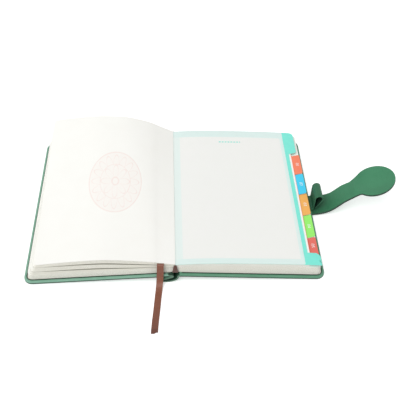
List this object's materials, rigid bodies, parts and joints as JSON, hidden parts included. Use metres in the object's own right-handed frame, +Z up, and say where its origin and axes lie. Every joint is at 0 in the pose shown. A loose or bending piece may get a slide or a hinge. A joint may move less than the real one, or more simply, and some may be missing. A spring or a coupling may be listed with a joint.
{
  "type": "open paper planner",
  "caption": "Soft leather planner lying open: page blocks, tabbed dividers, a ribbon marker and a strap that folds over and clasps.",
  "frame": {"origin": "centre of the open planner's footprint without the ribbon, on the table", "axes": "+X towards the strap, +Y towards the head of the pages, +Z up"},
  "size_m": [0.3878, 0.2792, 0.046],
  "materials": {
    "leather": "semi-gloss grained",
    "lining": "matt",
    "board": "grey bookboard",
    "paper": "matt warm white paper",
    "vellum": "translucent",
    "mint": "coloured divider",
    "coral": "coloured divider",
    "blue": "coloured divider",
    "orange": "coloured divider",
    "green": "coloured divider",
    "red": "coloured divider",
    "band": "woven",
    "ribbon": "satin",
    "steel": "plain"
  },
  "bodies": {
    "back_cover": {"back_cover_leather": "leather", "back_cover_board": "board", "back_endpaper": "paper", "back_signature_1": "paper", "back_signature_2": "paper", "back_signature_3": "paper", "back_signature_4": "paper", "back_signature_5": "paper", "mint_divider": "mint", "coral_divider": "coral", "blue_divider": "blue", "orange_divider": "orange", "green_divider": "green", "red_divider": "red", "vellum_leaf": "vellum", "head_band_back": "band", "tail_band_back": "band", "pen_loop": "leather"},
    "front_half": {"front_cover_leather": "leather", "front_cover_board": "board", "front_endpaper": "paper", "clasp_plate": "steel", "front_signature_1": "paper", "front_signature_2": "paper", "front_signature_3": "paper", "raised_leaves_lower": "paper", "raised_leaves_middle": "paper", "raised_leaves_upper": "paper", "front_top_leaf": "paper", "head_band_front": "band", "tail_band_front": "band"},
    "spine_back": {"spine_leather_back": "leather"},
    "spine_front": {"spine_leather_front": "leather"},
    "strap_root": {"strap_root": "leather"},
    "strap_end": {"strap_end_leather": "leather", "strap_end_lining": "lining", "clasp_magnet": "steel"},
    "ribbon": {"ribbon": "ribbon"}
  },
  "joints": [
    {"name": "front_cover_close", "type": "hinge", "parent": "back_cover", "child": "front_half", "pos_m": [-0.04375, 0, 0.0225], "axis": [0, 1, 0], "range_deg": [0, 186.2], "deforming": ["raised_leaves_lower", "raised_leaves_middle", "raised_leaves_upper", "front_top_leaf"]},
    {"name": "spine_back_fold", "type": "hinge", "parent": "back_cover", "child": "spine_back", "pos_m": [-0.04115, 0, 0.0082], "axis": [0, 1, 0], "range_deg": [0, 99.4]},
    {"name": "spine_front_fold", "type": "hinge", "parent": "front_half", "child": "spine_front", "pos_m": [-0.04635, 0, 0.0086], "axis": [0, 1, 0], "range_deg": [-224.3, 0]},
    {"name": "ribbon_shift", "type": "slide", "parent": "back_cover", "child": "ribbon", "axis": [1, 0, 0], "range_m": [0, 0.0331]},
    {"name": "strap_lift", "type": "hinge", "parent": "back_cover", "child": "strap_root", "pos_m": [0.10805, 0, 0.003], "axis": [0, 1, 0], "range_deg": [-31, 0]},
    {"name": "strap_end_fold", "type": "hinge", "parent": "strap_root", "child": "strap_end", "pos_m": [0.13905, 0, 0.0209], "axis": [0, 1, 0], "range_deg": [-129.5, 0]}
  ],
  "couplings": [
    {"joint": "spine_back_fold", "follows": "front_cover_close", "ratio": 0.5322},
    {"joint": "spine_front_fold", "follows": "front_cover_close", "ratio": -1.2028},
    {"joint": "ribbon_shift", "follows": "front_cover_close", "m_per_rad": 0.01016},
    {"joint": "strap_end_fold", "follows": "strap_lift", "ratio": 4.177}
  ]
}
